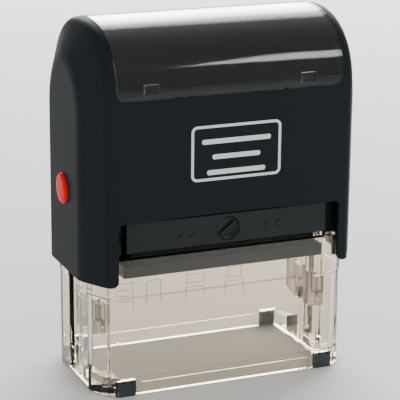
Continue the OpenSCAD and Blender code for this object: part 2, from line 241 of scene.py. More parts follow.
# Black ABS with a painted reflection: its colour is lifted to dark slate to stand for the reflection and haze
# of the clear wall in front of it, so it reads as a cool grey band behind that wall.
CARRIER_ABS_PAINTED_REFLECTION = Finish(
    "abs_black_satin_painted_reflection", "#243234", "#2A393B", 0.4, 0.04, grain_mm=0.3, grain_depth_mm=0.0005, specular=0.25
)
# Polystyrene moulded clear with a little smoke tint: bright faces, darker where it is seen on edge.
SMOKE_STYRENE = Finish(
    "polystyrene_smoke_clear", "#F3EBDF", "#EFE6D9", 0.035, 0.01, grain_mm=6.0, grain_depth_mm=0.0008,
    mottle_mm=30.0, ior=1.45, transmission=1.0,
)
# The same plastic in the small cam plates: a little greyer and slightly hazy.
FROSTED_STYRENE = Finish(
    "polystyrene_smoke_ribs", "#D8D0C8", "#CCC4BC", 0.1, 0.03, grain_mm=0.5, grain_depth_mm=0.002,
    mottle_mm=6.0, ior=1.45, transmission=0.92,
)
# Polystyrene polished clear: a hard, glassy cover with sharp reflections.
CLEAR_STYRENE = Finish(
    "polystyrene_window_clear", "#F4F6F7", "#EFF2F3", 0.06, 0.02, grain_mm=8.0, grain_depth_mm=0.0004,
    mottle_mm=40.0, ior=1.34, transmission=1.0,
)
# ABS moulded in a polished cavity: saturated red that shows small sharp highlights.
GLOSSY_RED = Finish(
    "abs_red_polished", "#E8040A", "#DC0308", 0.24, 0.03, grain_mm=1.5, grain_depth_mm=0.001, specular=0.04
)
# Moulded rubber: dark grey, dull, with a powdery grain.
FOOT_RUBBER = Finish(
    "rubber_grey_moulded", "#33393B", "#2A3031", 0.62, grain_mm=0.18, grain_depth_mm=0.01, sheen=0.15
)
# Rubber engraved by laser and stained with ink: dark, matte, with a slightly burnt face.
DIE_RUBBER = Finish(
    "rubber_dark_engraved", "#232627", "#1B1D1E", 0.7, grain_mm=0.15, grain_depth_mm=0.012, specular=0.3
)
# Felt soaked with black ink: almost black and fibrous.
INK_FELT = FeltFinish("felt_inked", "#1B1B20", "#0F0F12", 0.85, grain_mm=0.5, grain_depth_mm=0.08, sheen=0.3)
# Foam between the carrier and the rubber: dark grey and pitted.
CUSHION_FOAM = CellFinish(
    "foam_closed_cell", "#2E3435", "#272C2D", 0.9, grain_mm=0.35, grain_depth_mm=0.05, specular=0.3
)
# Card printed black: flat and dull, which makes the clear window over it look deep.
BLACK_CARD = Finish(
    "card_black_printed", "#07090A", "#0A0D0E", 0.55, grain_mm=0.12, grain_depth_mm=0.003, specular=0.06
)
# Spring wire as drawn: bright steel with lines along the wire.
DRAWN_STEEL = Finish(
    "steel_wire_drawn", "#A9ACAD", "#8F9394", 0.3, grain_mm=0.25, grain_depth_mm=0.003, metallic=1.0,
    stretch=(1.0, 1.0, 4.0),
)
# Dowel steel as ground: bright, with fine rings round the pin.
GROUND_STEEL = Finish(
    "steel_dowel_ground", "#B9BCBD", "#A5A9AA", 0.22, grain_mm=0.15, grain_depth_mm=0.002, metallic=1.0,
    stretch=(5.0, 1.0, 1.0),
)
# White ink laid on by pad printing: thin, opaque and slightly matte.
WHITE_PRINT = Finish("ink_white_printed", "#F2F3F3", "#E9EBEB", 0.5, grain_mm=0.2, grain_depth_mm=0.001)


# --- solids ----------------------------------------------------------------------------


class Solid:
    """A closed mesh under construction. Its points are given in millimetres in the row frame."""

    def __init__(self, points: list[Point3], faces: list[tuple[int, ...]]) -> None:
        """Makes the mesh, with all faces turned outwards.

        Args:
            points: The corners, in mm.
            faces: Each face as places in points.
        """
        mesh = bpy.data.meshes.new("solid")
        mesh.from_pydata([Vector(p) * MM for p in points], [], faces)
        work = bmesh.new()
        work.from_mesh(mesh)
        bmesh.ops.recalc_face_normals(work, faces=work.faces)
        work.to_mesh(mesh)
        work.free()
        self.object = bpy.data.objects.new("solid", mesh)
        bpy.context.scene.collection.objects.link(self.object)

    def _apply(self) -> None:
        """Turns the object's modifiers into plain mesh."""
        bpy.context.view_layer.update()
        ready = self.object.evaluated_get(bpy.context.evaluated_depsgraph_get())
        mesh = bpy.data.meshes.new_from_object(ready)
        self.object.modifiers.clear()
        self.object.data = mesh

    def _combine(self, other: "Solid", operation: str) -> "Solid":
        """Combines this solid with another, which is used up.

        Args:
            other: The other solid.
            operation: UNION, DIFFERENCE or INTERSECT.
        Returns:
            This solid.
        """
        step = self.object.modifiers.new("step", "BOOLEAN")
        step.operation, step.solver, step.object = operation, "EXACT", other.object
        self._apply()
        bpy.data.objects.remove(other.object)
        return self

    def cut(self, *tools: "Solid") -> "Solid":
        """Takes space away from this solid.

        Args:
            tools: The solids to take away.
        Returns:
            This solid.
        """
        for tool in tools:
            self._combine(tool, "DIFFERENCE")
        return self

    def add(self, *others: "Solid") -> "Solid":
        """Joins others to this solid, as one skin.

        Args:
            others: The solids to join.
        Returns:
            This solid.
        """
        for other in others:
            self._combine(other, "UNION")
        return self

    def keep(self, other: "Solid") -> "Solid":
        """Keeps only what lies in the other solid too."""
        return self._combine(other, "INTERSECT")

    def ease(self, width_mm: float, segments: int = 3, angle_deg: float = 30.0) -> "Solid":
        """Rounds every edge sharper than an angle.

        Args:
            width_mm: How far the rounding reaches from the edge.
            segments: How many strips it has.
            angle_deg: The least angle between two faces that counts as an edge.
        Returns:
            This solid.
        """
        weld = self.object.modifiers.new("weld", "WELD")
        weld.merge_threshold = 0.004 * MM
        edge = self.object.modifiers.new("ease", "BEVEL")
        edge.width, edge.segments, edge.limit_method = width_mm * MM, segments, "ANGLE"
        edge.angle_limit, edge.miter_outer = math.radians(angle_deg), "MITER_ARC"
        edge.use_clamp_overlap = True
        self._apply()
        return self


def loft(rings: list[list[Point3]]) -> Solid:
    """Skins equal rings of points one after the other and closes both ends.

    Args:
        rings: Rings with the same number of points.
    Returns:
        The closed solid.
    """
    count = len(rings[0])
    faces = [tuple(range(count)), tuple(reversed(range((len(rings) - 1) * count, len(rings) * count)))]
    for r in range(len(rings) - 1):
        for i in range(count):
            j = (i + 1) % count
            faces.append((r * count + i, (r + 1) * count + i, (r + 1) * count + j, r * count + j))
    return Solid([p for ring in rings for p in ring], faces)


def prism(outline: list[Point2], low: float, high: float, axis: Axis = Axis.Z) -> Solid:
    """Extrudes an outline.

    Args:
        outline: Points in the plane across the axis, in row order.
        low: Where it starts along the axis, in mm.
        high: Where it ends.
        axis: The axis that it runs along.
    Returns:
        The solid.
    """
    def place(point: Point2, at: float) -> Point3:
        """Puts an outline point at a place along the axis."""
        coordinates = list(point)
        coordinates.insert(axis.value, at)
        return tuple(coordinates)

    return loft([[place(p, at) for p in outline] for at in (low, high)])


def block(low: Point3, high: Point3) -> Solid:
    """Makes a box.

    Args:
        low: Its lowest corner, in mm.
        high: Its highest corner.
    Returns:
        The box.
    """
    (x0, y0, z0), (x1, y1, z1) = low, high
    return prism([(x0, y0), (x1, y0), (x1, y1), (x0, y1)], z0, z1)


def turned(profile: list[Point2], centre: Point3, axis: Axis, steps: int = 64) -> Solid:
    """Turns a closed profile of (radius, distance) points round an axis.

    Args:
        profile: Points from the axis at one end to the axis at the other.
        centre: A point on the axis, from which distances count.
        axis: The axis.
        steps: How many strips a full turn has.
    Returns:
        The solid, with a point at each end of the axis.
    """
    across = [a for a in range(3) if a != axis.value]
    points: list[Point3] = []
    for radius, along in profile[1:-1]:
        for k in range(steps):
            turn = math.tau * k / steps
            point = list(centre)
            point[axis.value] += along
            point[across[0]] += radius * math.cos(turn)
            point[across[1]] += radius * math.sin(turn)
            points.append(tuple(point))
    ends = []
    for _, along in (profile[0], profile[-1]):
        point = list(centre)
        point[axis.value] += along
        ends.append(tuple(point))
    rings = len(profile) - 2
    faces = []
    for r in range(rings - 1):
        a, b = r * steps, (r + 1) * steps
        faces += [(a + k, a + (k + 1) % steps, b + (k + 1) % steps, b + k) for k in range(steps)]
    first, last = rings * steps, rings * steps + 1
    faces += [(first, (k + 1) % steps, k) for k in range(steps)]
    faces += [(last, (rings - 1) * steps + k, (rings - 1) * steps + (k + 1) % steps) for k in range(steps)]
    return Solid(points + ends, faces)


def rod(radius: float, low: float, high: float, centre: Point3, axis: Axis) -> Solid:
    """Makes a round rod between two places along an axis, in mm."""
    return turned([(0, low), (radius, low), (radius, high), (0, high)], centre, axis)


def rounded(corners: list[Point2], radius: float, steps: int = 8) -> list[Point2]:
    """Rounds the corners of a convex outline with arcs.

    Args:
        corners: The sharp outline, anticlockwise.
        radius: The arcs' radius, in mm.
        steps: How many chords each arc has.
    Returns:
        The rounded outline.
    """
    out: list[Point2] = []
    for i, corner in enumerate(corners):
        here = Vector(corner)
        before = (Vector(corners[i - 1]) - here).normalized()
        after = (Vector(corners[(i + 1) % len(corners)]) - here).normalized()
        half = before.angle(after) / 2
        reach = radius / math.tan(half)
        centre = here + (before + after).normalized() * (radius / math.sin(half))
        start, end = here + before * reach - centre, here + after * reach - centre
        sweep = start.angle_signed(end)
        for k in range(steps + 1):
            out.append(tuple(centre + Matrix.Rotation(-sweep * k / steps, 2) @ start))
    return out


def mirrored(quarter: list[Point2]) -> list[Point2]:
    """Mirrors one quarter of a plan to all four corners.

    Args:
        quarter: Its points, anticlockwise.
    Returns:
        The whole outline, anticlockwise.
    """
    back = list(reversed(quarter))
    return (
        quarter + [(-x, y) for x, y in back] + [(-x, -y) for x, y in quarter] + [(x, -y) for x, y in back]
    )


def inset(outline: list[Point2], depth: float) -> list[Point2]:
    """Moves a convex outline inwards, square to its edges.

    Args:
        outline: Its points, anticlockwise.
        depth: How far, in mm.
    Returns:
        The smaller outline.
    """
    out = []
    for i, corner in enumerate(outline):
        here = Vector(corner)
        d1 = (here - Vector(outline[i - 1])).normalized()
        d2 = (Vector(outline[(i + 1) % len(outline)]) - here).normalized()
        n1, n2 = Vector((d1.y, -d1.x)), Vector((d2.y, -d2.x))
        out.append(tuple(here - (n1 + n2) * (depth / (1 + n1.dot(n2)))))
    return out


def publish(
    solid: Solid, name: str, finish: Finish, body: str, replaces: tuple[str, ...] = (),
    smooth_deg: float = 28.0,
) -> bpy.types.Object:
    """Turns a solid into a finished piece that moves with a body.

    Args:
        solid: The finished shape.
        name: The piece's name.
        finish: Its surface.
        body: The CAD body that it rides on.
        replaces: The CAD nodes that it stands for.
        smooth_deg: Edges sharper than this stay crisp.
    Returns:
        The piece.
    """
    piece = solid.object
    piece.name = piece.data.name = name
    piece.data.shade_smooth()
    piece.data.set_sharp_from_angle(angle=math.radians(smooth_deg))
    even = piece.modifiers.new("shading", "WEIGHTED_NORMAL")
    even.keep_sharp, even.weight = True, 100
    piece.data.materials.clear()
    piece.data.materials.append(finish.make())
    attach(piece, body)
    if replaces:
        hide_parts(*replaces)
    LOG.info("%s: %d faces, %s, on %s", name, len(piece.data.polygons), finish.name, body)
    return piece


def dress(node: str, finish: Finish, edge_mm: float) -> None:
    """Gives a CAD node its finish, and rounds its edges with a modifier.

    Args:
        node: The node's name.
        finish: Its surface.
        edge_mm: How far the rounding reaches from an edge.
    """
    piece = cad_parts[node]
    piece.data.materials.clear()
    piece.data.materials.append(finish.make())
    weld = piece.modifiers.new("weld", "WELD")
    weld.merge_threshold = 0.002 * MM
    flat = piece.modifiers.new("flat", "DECIMATE")
    flat.decimate_type, flat.angle_limit = "DISSOLVE", math.radians(1)
    edge = piece.modifiers.new("ease", "BEVEL")
    edge.width, edge.segments, edge.limit_method = edge_mm * MM, 2, "ANGLE"
    edge.angle_limit = math.radians(40)
    piece.modifiers.new("shading", "WEIGHTED_NORMAL").keep_sharp = True
    LOG.info("%s: CAD node, %s", node, finish.name)


def box_mm(node: str) -> tuple[Vector, Vector]:
    """Reads a CAD node's box.

    Args:
        node: The node's name.
    Returns:
        Its lowest and highest corners, in mm.
    """
    low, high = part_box(node)
    return low / MM, high / MM


# --- cap -------------------------------------------------------------------------------


@dataclass
class Cap:
    """The black cap with its clear index window, card and printed sign.

    end_reaches are the lengths of the three roundings of the end profile, and end_drop is the depth
    that the profile falls between the full arch and the cheek.
    """

    low: Vector = field(default_factory=lambda: box_mm("cap_shell")[0])
    high: Vector = field(default_factory=lambda: box_mm("cap_shell")[1])
    print_relief: float = 0.03
    facet_in: float = 4.7
    end_reaches: Point3 = (1.6, 1.5, 1.5)
    end_drop: float = 8.65
    shell_t: float = 3.3
    bore_x: float = 35.3
    bore_facet_x: float = 31.3
    bore_top: float = 74.4
    pin_bore: float = 1.35
    button_bore: float = 4.1
    button_seat: float = 1.3
    rib_x: Point2 = (33.3, 35.4)
    rib_y: float = 3.2
    rib_z: Point2 = (30.6, 72.0)
    lug_x: float = 20.8
    lug_z: float = 78.2
    lug_size: Point2 = (3.8, 2.2)
    scoop_half: float = 20.0
    scoop_rise: float = 2.7
    scoop_depth: float = 0.8
    scoop_slope: float = 1.9
    arch_z: float = 76.0
    fullness: float = 2.25
    crest_x: float = 30.2
    cheek_b: float = 11.15
    cheek_z: float = 70.0
    cheek_top: float = 83.5
    notch_x: float = 29.8
    notch_z: float = 45.6
    button_z: float = 50.6
    axle_z: float = 33.0
    window_corner: float = 2.4
    window_fit: float = 0.12
    recess: float = 1.6
    window_t: float = 1.15

    def __post_init__(self) -> None:
        """Works out the cap's half depth, crest and lower edge from the CAD node's box."""
        self.half_x = self.high.x
        self.half_y = self.high.y - self.print_relief
        self.top = self.high.z
        self.bottom = self.low.z
        self.window_x = box_mm("index_window")[1].x
        self.window_z = box_mm("index_window")[0].z

    def arch(self, b: float, spring: float, top: float, n: float, steps: int = 72) -> list[Point2]:
        """Returns the (y, z) outline of one station, from the rear foot over the top to the front foot.

        Equal places in two outlines face the same way, so the skin between them is never hollow.

        Args:
            b: Half depth.
            spring: Height where the arch starts.
            top: Height of its crest.
            n: Fullness, where 2 is an ellipse.
            steps: How many chords the arch has.
        Returns:
            The outline.
        """
        wall = [self.bottom + (spring - self.bottom) * k / 6 for k in range(6)]
        out = [(b, z) for z in wall]
        rise, power = top - spring, 1 / (n - 1)
        for k in range(steps + 1):
            turn = math.pi * k / steps
            across, up = abs(b * math.cos(turn)) ** power, abs(rise * math.sin(turn)) ** power
            size = (abs(b * math.cos(turn)) * across + abs(rise * math.sin(turn)) * up) ** (1 / n)
            out.append((math.copysign(b * across / size, math.cos(turn)), spring + rise * up / size))
        return out + [(-b, z) for z in reversed(wall)]

    def outer(self) -> Solid:
        """Returns the cap's outer form: a full arch whose ends are faceted down to flat cheeks."""
        full = self.arch(self.half_y, self.arch_z, self.top, self.fullness)
        cheek = self.arch(self.cheek_b, self.cheek_z, self.cheek_top, 2.0)
        facet_x, facet_share = self.half_x - self.facet_in, 0.035
        corners = [
            (0.0, 0.0), (self.crest_x, 0.0), (facet_x, facet_share), (self.half_x, 1.0), (self.half_x, 1.9),
        ]
        half = [corners[0]]
        for i, reach in enumerate(self.end_reaches, start=1):
            half += self.fillet(corners[i - 1], corners[i], corners[i + 1], reach)
        stations = [(-x, w) for x, w in reversed(half[1:])] + half
        rings = []
        for x, w in stations:
            ring = []
            for (y0, z0), (y1, z1) in zip(full, cheek):
                # The lower edge stays level
                ring.append((x, y0 + (y1 - y0) * w, z0 + (z1 - z0) * (w if z0 > self.bottom else 0)))
            rings.append(ring)
        return loft(rings)

    def fillet(
        self, before: Point2, corner: Point2, after: Point2, reach: float, steps: int = 7
    ) -> list[Point2]:
        """Rounds one corner of the end profile with a parabola.

        Args:
            before: The profile's point before the corner.
            corner: The corner.
            after: The point after it.
            reach: How far along each side the rounding starts, in mm of true distance.
            steps: How many chords it has.
        Returns:
            The points of the rounding.
        """
        def toward(target: Point2) -> Point2:
            """Returns where the rounding meets the side that runs to a point."""
            dx, dw = target[0] - corner[0], target[1] - corner[1]
            length = math.hypot(dx, dw * self.end_drop)
            share = min(0.48, reach / length)
            return corner[0] + dx * share, corner[1] + dw * share

        a, b = toward(before), toward(after)
        out = []
        for k in range(steps + 1):
            t = k / steps
            near, mid, far = (1 - t) ** 2, 2 * t * (1 - t), t * t
            out.append(tuple(near * a[i] + mid * corner[i] + far * b[i] for i in (0, 1)))
        return out

    def surface_line(self, z0: float, count: int = 220) -> list[Point2]:
        """Returns evenly spaced (y, z) points over the arch, from z0 at the front to z0 at the rear."""
        dense = self.arch(self.half_y, self.arch_z, self.top, self.fullness, 400)
        dense = [p for p in reversed(dense) if p[1] >= z0]
        line = [(-self.half_y, z0)] + dense + [(self.half_y, z0)]
        lengths = [0.0]
        for a, b in zip(line, line[1:]):
            lengths.append(lengths[-1] + math.dist(a, b))
        out, j = [], 0
        for k in range(count + 1):
            want = lengths[-1] * k / count
            while j < len(line) - 2 and lengths[j + 1] < want:
                j += 1
            share = (want - lengths[j]) / max(lengths[j + 1] - lengths[j], 1e-9)
            out.append(tuple(line[j][i] + (line[j + 1][i] - line[j][i]) * share for i in (0, 1)))
        return out

    def sheet(self, half_x: float, z0: float, outside: float, inside: float, corner: float) -> Solid:
        """Makes a sheet that follows the arch, with rounded corners.

        Args:
            half_x: Its half width.
            z0: Height of its lower edges, front and rear.
            outside: Depth of its outer face under the cap's surface, negative where it stands proud.
            inside: Depth of its inner face.
            corner: Radius of its four corners.
        Returns:
            The closed solid.
        """
        line = self.surface_line(z0)
        total = sum(math.dist(a, b) for a, b in zip(line, line[1:]))
        step = total / (len(line) - 1)
        ease = [corner * (1 - math.cos(math.pi / 2 * k / 8)) for k in range(9)]
        middle = [corner + (total - 2 * corner) * k / 90 for k in range(1, 90)]
        places = ease + middle + [total - e for e in reversed(ease)]
        rings = []
        for s in places:
            at = min(s / step, len(line) - 1.000001)
            i = int(at)
            a, b = Vector(line[i]), Vector(line[i + 1])
            here = a.lerp(b, at - i)
            along = (Vector(line[min(i + 3, len(line) - 1)]) - Vector(line[max(i - 2, 0)])).normalized()
            out = Vector((-along.y, along.x))
            edge = max(0.0, corner - min(s, total - s))
            width = half_x - corner + math.sqrt(max(corner * corner - edge * edge, 0.0)) + 0.0005
            o, p = here - out * outside, here - out * inside
            rings.append([(-width, *o), (width, *o), (width, *p), (-width, *p)])
        return loft(rings)

    def notch_outline(self, top_r: float, foot_r: float) -> list[Point2]:
        """Returns the (x, z) outline of the notch.

        Args:
            top_r: Radius of its upper corners.
            foot_r: Radius that rounds the ends of the cap's legs beside it.
        Returns:
            The outline, clockwise from the lower right.
        """
        turns = [math.pi / 2 * k / 8 for k in range(9)]
        x, low, high = self.notch_x, self.bottom, self.notch_z
        right = [(x + foot_r, low - 1)]
        right += [(x + foot_r * (1 - math.sin(t)), low + foot_r * (1 - math.cos(t))) for t in turns]
        right += [(x - top_r * (1 - math.cos(t)), high - top_r * (1 - math.sin(t))) for t in turns]
        return right + [(-u, z) for u, z in reversed(right)]

    def scoop(self, side: int) -> Solid:
        """Makes the cutter for the thumb scoop over one notch.

        Args:
            side: -1 at the front, 1 at the rear.
        Returns:
            A lens-shaped cutter that gets smaller inwards.
        """
        half, rise = self.scoop_half, self.scoop_rise
        radius = (half * half + rise * rise) / (2 * rise)
        rings = []
        for depth in (-1.0, self.scoop_depth):
            r = radius - self.scoop_slope * depth / self.scoop_depth
            spread = math.acos((radius - rise - 1.6) / r)
            arc = [-spread + 2 * spread * k / 40 for k in range(41)]
            y = side * (self.half_y - depth)
            rings.append([(r * math.sin(t), y, self.notch_z + rise - radius + r * math.cos(t)) for t in arc])
        return loft(rings)

    def shell(self) -> None:
        """Builds the black shell: the outer form, hollowed, notched and recessed."""
        shell = self.outer()
        floor = self.bottom - 1
        bore = mirrored([(self.bore_x, 11.7), (self.bore_facet_x, self.half_y - 1.2)])
        shell.cut(prism(bore, floor, self.bore_top))
        rings = []
        deep, crest = self.half_y - self.shell_t, self.top - self.shell_t
        for x, b, spring, top, n in (
            (self.bore_x, self.cheek_b - 2, self.cheek_z, self.cheek_top - 2, 2.0),
            (self.bore_facet_x, deep, self.arch_z, crest, self.fullness),
        ):
            rings.append([(x, y, max(z, 60.0)) for y, z in self.arch(b, spring, top, n, 36)[5:-5]])
        shell.cut(loft(rings + [[(-x, y, z) for x, y, z in ring] for ring in reversed(rings)]))
        reach = self.window_x + self.window_fit
        shell.cut(self.sheet(reach, self.window_z - self.window_fit, -1.5, self.recess, self.window_corner))
        shell.cut(prism(self.notch_outline(1.0, 1.5), -self.half_y - 1, self.half_y + 1, Axis.Y))
        shell.cut(self.scoop(-1), self.scoop(1))
        for side in (-1, 1):
            low, high = sorted((side * (self.half_x - self.button_seat), side * (self.half_x + 1)))
            shell.cut(rod(self.button_bore, low, high, (0, 0, self.button_z), Axis.X))
            low, high = sorted((side * 34.0, side * (self.half_x - 0.9)))
            for z in (self.button_z, self.axle_z):
                shell.cut(rod(self.pin_bore, low, high, (0, 0, z), Axis.X))
            for end in (-1, 1):
                shell.cut(self.lug(side, end, 15.0, 19.2, 0.1))
        shell.ease(0.35, 3, 32)
        publish(shell, "cap_shell_moulded", CAP_ABS, "cap", ("cap_shell",))

    def lug(self, side: int, end: int, y0: float, y1: float, room: float = 0.0) -> Solid:
        """Makes one of the window's lugs, or the cutter for its slot.

        Args:
            side: -1 on the left, 1 on the right.
            end: -1 at the front, 1 at the rear.
            y0: Its distance from the middle plane to its inner end.
            y1: The same to its outer end.
            room: How far it is grown all round, for a slot.
        Returns:
            The box.
        """
        x, half_w, half_h = side * self.lug_x, self.lug_size[0] / 2 + room, self.lug_size[1] / 2 + room
        low, high = sorted((end * y0, end * y1))
        return block((x - half_w, low, self.lug_z - half_h), (x + half_w, high, self.lug_z + half_h))

    def ribs(self) -> None:
        """Builds the two guide ribs inside the cap, which run in the base's side channels."""
        for side, word in ((-1, "left"), (1, "right")):
            low, high = sorted(side * x for x in self.rib_x)
            rib = block((low, -self.rib_y, self.rib_z[0]), (high, self.rib_y, self.rib_z[1])).ease(0.3, 2)
            for z in (self.button_z, self.axle_z):
                rib.cut(rod(self.pin_bore, low - 1, high + 1, (0, 0, z), Axis.X))
            publish(rib, f"cap_rib_{word}", CAP_ABS, "cap")

    def window(self) -> None:
        """Builds the clear window with the lugs that clip it to the shell."""
        pane = self.sheet(self.window_x, self.window_z, 0.0, self.window_t, self.window_corner)
        for side in (-1, 1):
            for end in (-1, 1):
                pane.add(self.lug(side, end, 16.9, 18.9))
        # Four small nicks in each lower edge
        for x in (-14.4, -11.0, 11.0, 14.4):
            pane.cut(rod(0.42, -self.half_y - 1, self.half_y + 1, (x, 0, self.window_z), Axis.Y))
        pane.ease(0.25, 3, 32)
        publish(pane, "index_window_clear", CLEAR_STYRENE, "cap", ("index_window",))

    def card(self) -> None:
        """Builds the black card under the window."""
        low = box_mm("index_card")[0]
        card = self.sheet(-low.x, low.z, self.window_t + 0.1, self.window_t + 0.35, 1.0)
        for x in (-self.lug_x, self.lug_x):
            card.cut(block((x - 2.3, -30, low.z - 1), (x + 2.3, 30, 79.7)))
        publish(card, "index_card_black", BLACK_CARD, "cap", ("index_card",))

    def mark(self) -> None:
        """Prints a plain sign on the front face: a text plate as a frame with bars. It has no lettering."""
        x0, x1, z0, z1 = -11.0, 13.0, 54.5, 68.5
        line, corner, root = 0.7, 1.6, 0.2
        out = rounded([(x1, z0), (x1, z1), (x0, z1), (x0, z0)], corner)
        xa, xb, za, zb = x0 + line, x1 - line, z0 + line, z1 - line
        inner = rounded([(xb, za), (xb, zb), (xa, zb), (xa, za)], corner - line)
        face = -self.half_y
        sign = prism(out, face - self.print_relief, face + root, Axis.Y)
        sign.cut(prism(inner, face - 1, face + 1, Axis.Y))
        first_z, pitch, height = 65.0, 3.9, 1.25
        for k, (left, right) in enumerate(((-8.2, 10.2), (-5.4, 7.4), (-6.8, 8.8))):
            z = first_z - pitch * k
            bar = rounded([(right, z - height), (right, z), (left, z), (left, z - height)], 0.5)
            sign.add(prism(bar, face - self.print_relief, face + root, Axis.Y))
        publish(sign, "cap_front_sign", WHITE_PRINT, "cap")

    def build(self) -> None:
        """Builds the whole cap."""
        self.shell()
        self.mark()
        self.ribs()
        self.window()
        self.card()


# --- lock buttons ----------------------------------------------------------------------


@dataclass
class LockButton:
    """One domed red button in the side of the cap."""

    side: int
    radius: float = 4.0
    stem_r: float = 1.25
    height: float = 50.6

    def build(self) -> None:
        """Builds the button from its turned profile."""
        word = "left" if self.side < 0 else "right"
        low, high = box_mm(f"lock_button_{word}")
        face, stem = (high.x, low.x) if self.side > 0 else (-low.x, -high.x)
        seat, brim, edge = face - 1.28, face - 0.9, 0.35
        profile = [(0, stem), (self.stem_r, stem), (self.stem_r, seat)]
        profile += [(self.radius - 0.4, seat), (self.radius, brim - 0.05)]
        for k in range(13):
            turn = math.pi / 2 * k / 12
            reach = self.radius * math.cos(turn) ** edge if k < 12 else 0.0
            profile.append((reach, brim + 0.9 * math.sin(turn)))
        solid = turned([(r, self.side * x) for r, x in profile], (0, 0, self.height), Axis.X)
        publish(solid, f"lock_button_{word}_domed", GLOSSY_RED, f"lock_{word}",
                (f"lock_button_{word}",), 40)


# --- base ------------------------------------------------------------------------------


@dataclass
class Base:
    """The clear base with its channels, rim, rubber feet and cam plates."""

    wall: float = 1.8
    step_d: float = 0.2
    step_z: float = 26.2
    rim_h: float = 5.0
    skirt_h: float = 35.9
    channel_y: float = 3.6
    bulge_y: float = 5.4
    corner: float = 1.4
    bulge_x: Point2 = (31.2, 34.0)
    channel_x: Point2 = (33.0, 36.0)
    channel_z: float = 1.6
    opening: Point2 = (28.6, 16.1)
    flange_x: Point2 = (27.6, 33.2)
    flange_y: float = 10.0
    flange_z: float = 1.4
    foot_x: Point2 = (24.8, 29.6)
    wall_in: float = 16.2
    foot_h: float = 4.3
    mouth_x: float = 29.8
    slot_half: float = 1.55
    slot_foot: float = 2.65
    panel: Point2 = (23.0, 3.5)

    def __post_init__(self) -> None:
        """Takes the base's outer size from its CAD node."""
        self.low, self.high = box_mm("base_frame")

    def plan(self, depth: float, radius: float) -> list[Point2]:
        """Returns the rounded plan.

        Args:
            depth: How far it lies inside the outer face, in mm.
            radius: Radius of its corners.
        Returns:
            The outline, anticlockwise.
        """
        a, b = self.high.x, self.high.y
        sharp = mirrored([(a, 10.85), (a - 3.05, b - 1.5), (a - 5.2, b)])
        return rounded(inset(sharp, depth), radius, 5)

    def rings(self, levels: list[tuple[float, float]], radius: float) -> Solid:
        """Lofts the plan through (height, depth) levels."""
        return loft([[(x, y, z) for x, y in self.plan(d, radius)] for z, d in levels])

    def frame(self) -> None:
        """Builds the clear frame."""
        bottom, top = self.low.z, self.high.z
        body = self.rings(
            [(bottom, self.step_d + 0.25), (bottom + 0.25, self.step_d), (self.step_z - 0.3, self.step_d),
             (self.step_z - 0.22, self.step_d + 0.22), (self.step_z - 0.02, self.step_d + 0.22),
             (self.step_z, 0.0), (top, 0.0)], self.corner)
        # The wall is a little thicker near the foot and thins out above it.
        body.cut(self.rings(
            [(self.rim_h - 0.5, self.wall + 0.3), (self.rim_h, self.wall + 0.12), (9.5, self.wall + 0.1),
             (11.0, self.wall), (top + 1, self.wall)], 0.5))
        open_x, open_y = self.opening
        body.cut(block((-open_x, -open_y, -1), (open_x, open_y, self.rim_h + 0.5)))
        for s in (-1, 1):
            low, high = sorted(s * x for x in self.flange_x)
            body.cut(block((low, -self.flange_y, self.flange_z), (high, self.flange_y, self.rim_h + 0.5)))
            low, high = sorted(s * x for x in self.bulge_x)
            body.add(block((low, -self.bulge_y, bottom + 0.05), (high, self.bulge_y, top - 0.02)))
        for s in (-1, 1):
            low, high = sorted(s * x for x in self.channel_x)
            body.cut(block((low, -self.channel_y, self.channel_z), (high, self.channel_y, top + 1)))
            half, foot = self.slot_half, self.slot_foot
            slot = rounded([(half, foot), (half, top + 5), (-half, top + 5), (-half, foot)], 1.5)
            low, high = sorted((s * 30.0, s * 34.0))
            body.cut(prism(slot, low, high, Axis.X))
            low, high = sorted((s * self.wall_in, s * 21.0))
            x, z = self.mouth_x, self.skirt_h
            mouth = rounded([(x, z), (x, top + 9), (-x, top + 9), (-x, z)], 1.0)
            body.cut(prism(mouth, low, high, Axis.Y))
            # Long shallow panel in the rim
            low, high = sorted((s * (self.high.y - 0.5), s * (self.high.y + 1)))
            panel_x, panel_z = self.panel
            body.cut(block((-panel_x, low, -1), (panel_x, high, panel_z)))
            for side in (-1, 1):
                low_x, high_x = sorted(side * x for x in self.foot_x)
                low_y, high_y = sorted((s * self.wall_in, s * 21.0))
                body.cut(block((low_x, low_y, -1), (high_x, high_y, self.foot_h)))
        body.ease(0.22, 2, 32)
        publish(body, "base_frame_clear", SMOKE_STYRENE, "base", ("base_frame",), 30)

    def signs(self) -> None:
        """Builds the fine raised outlines on the inner face of the rear wall: plain boxes and arrows."""
        face = self.high.y - self.wall
        line, relief = 0.13, 0.07
        marks: list[tuple[float, float, float, float]] = []
        boxes = (
            (-17.5, 9.5, 4.6, 8.0), (-9.0, 10.5, 4.2, 7.0), (2.5, 10.0, 5.4, 4.2),
            (2.5, 15.2, 5.4, 2.6), (14.0, 10.5, 5.6, 4.0), (14.8, 15.5, 4.0, 3.0),
        )
        for x, z, w, h in boxes:
            marks += [(x, z, x + w, z + line), (x, z + h - line, x + w, z + h), (x, z, x + line, z + h),
                      (x + w - line, z, x + w, z + h)]
        for k in range(4):
            marks.append((-17.0, 10.6 + 1.6 * k, -13.6, 10.75 + 1.6 * k))
        for x, z in ((-7.0, 19.0), (5.2, 19.6), (16.8, 20.0)):
            marks += [(x - 0.08, z, x + 0.08, z + 1.8), (x - 0.7, z + 0.5, x + 0.7, z + 0.65)]
        points, faces = [], []
        for x0, z0, x1, z1 in marks:
            n = len(points)
            corners = ((x0, z0), (x1, z0), (x1, z1), (x0, z1))
            points += [(x, y, z) for y in (face - relief, face) for x, z in corners]
            faces += [tuple(n + i for i in f) for f in (
                (0, 1, 2, 3), (7, 6, 5, 4), (0, 4, 5, 1), (1, 5, 6, 2), (2, 6, 7, 3), (3, 7, 4, 0))]
        publish(Solid(points, faces), "base_rear_signs", SMOKE_STYRENE, "base")

